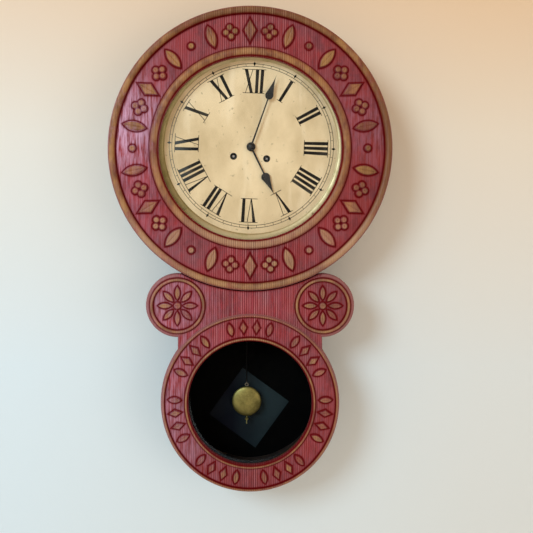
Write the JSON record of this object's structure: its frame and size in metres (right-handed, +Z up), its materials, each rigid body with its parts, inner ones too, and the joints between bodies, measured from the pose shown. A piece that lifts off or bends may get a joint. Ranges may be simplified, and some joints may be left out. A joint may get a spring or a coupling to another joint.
{
  "type": "advertising wall clock",
  "caption": "Wall clock with a figure-eight moulded front: two glazed doors, round dial, striking movement with wheel trains and a swinging pendulum.",
  "frame": {"origin": "centre of the hanger plate's hole, on the wall plane", "axes": "+Z up along the clock's length, +Y into the wall, +X to the right seen from the front"},
  "size_m": [0.4629, 0.109, 0.7918],
  "materials": {
    "case_wood": "dark stain",
    "frame_wood": "stained",
    "block_wood": "plain",
    "moulding": "painted, worn gilt rims",
    "window_glass": "polished",
    "dial_paper": "aged",
    "sheet_paper": "matt",
    "brass": "aged",
    "dull_brass": "tarnished",
    "steel": "satin",
    "blued_steel": "blued",
    "spring_steel": "tempered",
    "iron": "black"
  },
  "bodies": {
    "case": {"back_board": "case_wood", "case_sides": "case_wood", "hanger_plate": "steel", "hanger_screws": "steel", "case_sheet": "sheet_paper", "dial_board": "case_wood", "dial": "dial_paper", "dial_bezel": "brass", "bezel_screws": "brass", "winding_eyelets": "blued_steel", "case_hinges": "dull_brass", "hook_studs": "dull_brass", "gong_base": "iron", "gong": "spring_steel", "movement_blocks": "block_wood", "movement_fasteners": "steel", "front_plate": "brass", "back_plate": "brass", "pillars": "brass", "mainsprings": "spring_steel", "suspension_post": "brass"},
    "upper_door": {"upper_door_frame": "frame_wood", "upper_door_relief": "moulding", "upper_glass": "window_glass", "upper_glass_ring": "brass", "upper_door_leaves": "dull_brass", "upper_door_eye": "dull_brass"},
    "lower_door": {"lower_door_frame": "frame_wood", "lower_door_relief": "moulding", "lower_glass": "window_glass", "lower_glass_ring": "dull_brass", "lower_door_leaves": "dull_brass", "lower_door_eye": "dull_brass"},
    "upper_latch": {"upper_hook": "dull_brass"},
    "lower_latch": {"lower_hook": "dull_brass"},
    "minute_body": {"centre_arbor": "brass", "cannon_pinion": "steel", "minute_hand": "blued_steel", "hand_nut": "blued_steel"},
    "hour_body": {"hour_wheel": "brass", "hour_hand": "blued_steel"},
    "minute_wheel_body": {"minute_wheel": "brass"},
    "time_great": {"time_great_wheel": "brass"},
    "time_winding": {"time_winding_arbor": "steel"},
    "time_second": {"time_second_arbor": "brass"},
    "time_third": {"time_third_arbor": "brass"},
    "escape": {"escape_wheel": "brass"},
    "verge_body": {"verge": "spring_steel"},
    "pendulum": {"pendulum_rod": "steel", "pendulum_bob": "dull_brass", "rating_nut": "dull_brass"},
    "strike_great": {"strike_great_wheel": "brass"},
    "strike_winding": {"strike_winding_arbor": "steel"},
    "strike_second": {"strike_second_arbor": "brass"},
    "strike_third": {"strike_third_arbor": "brass"},
    "strike_fourth": {"strike_fourth_arbor": "brass"},
    "fly_body": {"fly": "brass"},
    "hammer_body": {"hammer": "steel"},
    "count_body": {"count_wheel": "brass"}
  },
  "joints": [
    {"name": "upper_door_hinge", "type": "hinge", "parent": "case", "child": "upper_door", "pos_m": [0.218, -0.085, -0.17], "axis": [0, 0, 1], "range_deg": [0, 100]},
    {"name": "lower_door_hinge", "type": "hinge", "parent": "case", "child": "lower_door", "pos_m": [0.139, -0.085, -0.512], "axis": [0, 0, 1], "range_deg": [0, 100]},
    {"name": "upper_hook_swing", "type": "hinge", "parent": "case", "child": "upper_latch", "pos_m": [-0.2168, -0.06, -0.154], "axis": [-1, 0, 0], "range_deg": [0, 75]},
    {"name": "lower_hook_swing", "type": "hinge", "parent": "case", "child": "lower_latch", "pos_m": [-0.1388, -0.06, -0.5683], "axis": [-1, 0, 0], "range_deg": [0, 75]},
    {"name": "minute_arbor_turn", "type": "hinge", "parent": "case", "child": "minute_body", "pos_m": [0.0018, -0.0515, -0.1665], "axis": [0, -1, 0], "continuous": true},
    {"name": "minute_wheel_turn", "type": "hinge", "parent": "case", "child": "minute_wheel_body", "pos_m": [-0.0023, -0.0725, -0.17778], "axis": [0, -1, 0], "continuous": true},
    {"name": "hour_wheel_turn", "type": "hinge", "parent": "case", "child": "hour_body", "pos_m": [0.0018, -0.0795, -0.1665], "axis": [0, -1, 0], "continuous": true},
    {"name": "time_great_wheel_turn", "type": "hinge", "parent": "case", "child": "time_great", "pos_m": [0.0278, -0.0395, -0.186], "axis": [0, -1, 0], "continuous": true},
    {"name": "time_winding_turn", "type": "hinge", "parent": "time_great", "child": "time_winding", "pos_m": [0.0278, -0.0515, -0.186], "axis": [0, -1, 0], "continuous": true},
    {"name": "time_second_turn", "type": "hinge", "parent": "case", "child": "time_second", "pos_m": [0.01957, -0.0515, -0.15777], "axis": [0, -1, 0], "continuous": true},
    {"name": "time_third_turn", "type": "hinge", "parent": "case", "child": "time_third", "pos_m": [-0.01386, -0.0515, -0.15438], "axis": [0, -1, 0], "continuous": true},
    {"name": "escape_wheel_turn", "type": "hinge", "parent": "case", "child": "escape", "pos_m": [-0.0047, -0.0515, -0.1425], "axis": [0, -1, 0], "continuous": true},
    {"name": "pendulum_swing", "type": "hinge", "parent": "case", "child": "pendulum", "pos_m": [-0.0047, -0.022, -0.1245], "axis": [0, -1, 0], "range_deg": [-4, 4]},
    {"name": "verge_rock", "type": "hinge", "parent": "case", "child": "verge_body", "pos_m": [-0.0047, -0.0515, -0.1245], "axis": [0, -1, 0], "range_deg": [-4, 4]},
    {"name": "strike_second_turn", "type": "hinge", "parent": "case", "child": "strike_second", "pos_m": [-0.03231, -0.0515, -0.15305], "axis": [0, -1, 0], "continuous": true},
    {"name": "strike_great_wheel_turn", "type": "hinge", "parent": "case", "child": "strike_great", "pos_m": [-0.0272, -0.0395, -0.182], "axis": [0, -1, 0], "continuous": true},
    {"name": "strike_winding_turn", "type": "hinge", "parent": "strike_great", "child": "strike_winding", "pos_m": [-0.0272, -0.0515, -0.182], "axis": [0, -1, 0], "continuous": true},
    {"name": "strike_third_turn", "type": "hinge", "parent": "case", "child": "strike_third", "pos_m": [-0.02625, -0.0515, -0.13546], "axis": [0, -1, 0], "continuous": true},
    {"name": "strike_fourth_turn", "type": "hinge", "parent": "case", "child": "strike_fourth", "pos_m": [-0.01635, -0.0515, -0.12556], "axis": [0, -1, 0], "continuous": true},
    {"name": "fly_turn", "type": "hinge", "parent": "case", "child": "fly_body", "pos_m": [-0.02476, -0.0515, -0.11772], "axis": [0, -1, 0], "continuous": true},
    {"name": "hammer_swing", "type": "hinge", "parent": "case", "child": "hammer_body", "pos_m": [-0.0432, -0.0515, -0.2045], "axis": [0, -1, 0], "range_deg": [-12, 0]},
    {"name": "count_wheel_turn", "type": "hinge", "parent": "case", "child": "count_body", "pos_m": [-0.0312, -0.071, -0.1495], "axis": [0, -1, 0], "continuous": true}
  ],
  "couplings": [
    {"joint": "minute_wheel_turn", "follows": "minute_arbor_turn", "ratio": -0.33333},
    {"joint": "hour_wheel_turn", "follows": "minute_arbor_turn", "ratio": 0.083333},
    {"joint": "time_second_turn", "follows": "minute_arbor_turn", "ratio": -0.22222},
    {"joint": "time_great_wheel_turn", "follows": "minute_arbor_turn", "ratio": 0.037037},
    {"joint": "time_third_turn", "follows": "minute_arbor_turn", "ratio": -8},
    {"joint": "escape_wheel_turn", "follows": "minute_arbor_turn", "ratio": 72},
    {"joint": "verge_rock", "follows": "pendulum_swing", "ratio": 1},
    {"joint": "strike_great_wheel_turn", "follows": "strike_second_turn", "ratio": -0.16667},
    {"joint": "strike_third_turn", "follows": "strike_second_turn", "ratio": -6.75},
    {"joint": "strike_fourth_turn", "follows": "strike_second_turn", "ratio": 40.5},
    {"joint": "fly_turn", "follows": "strike_second_turn", "ratio": -270}
  ]
}
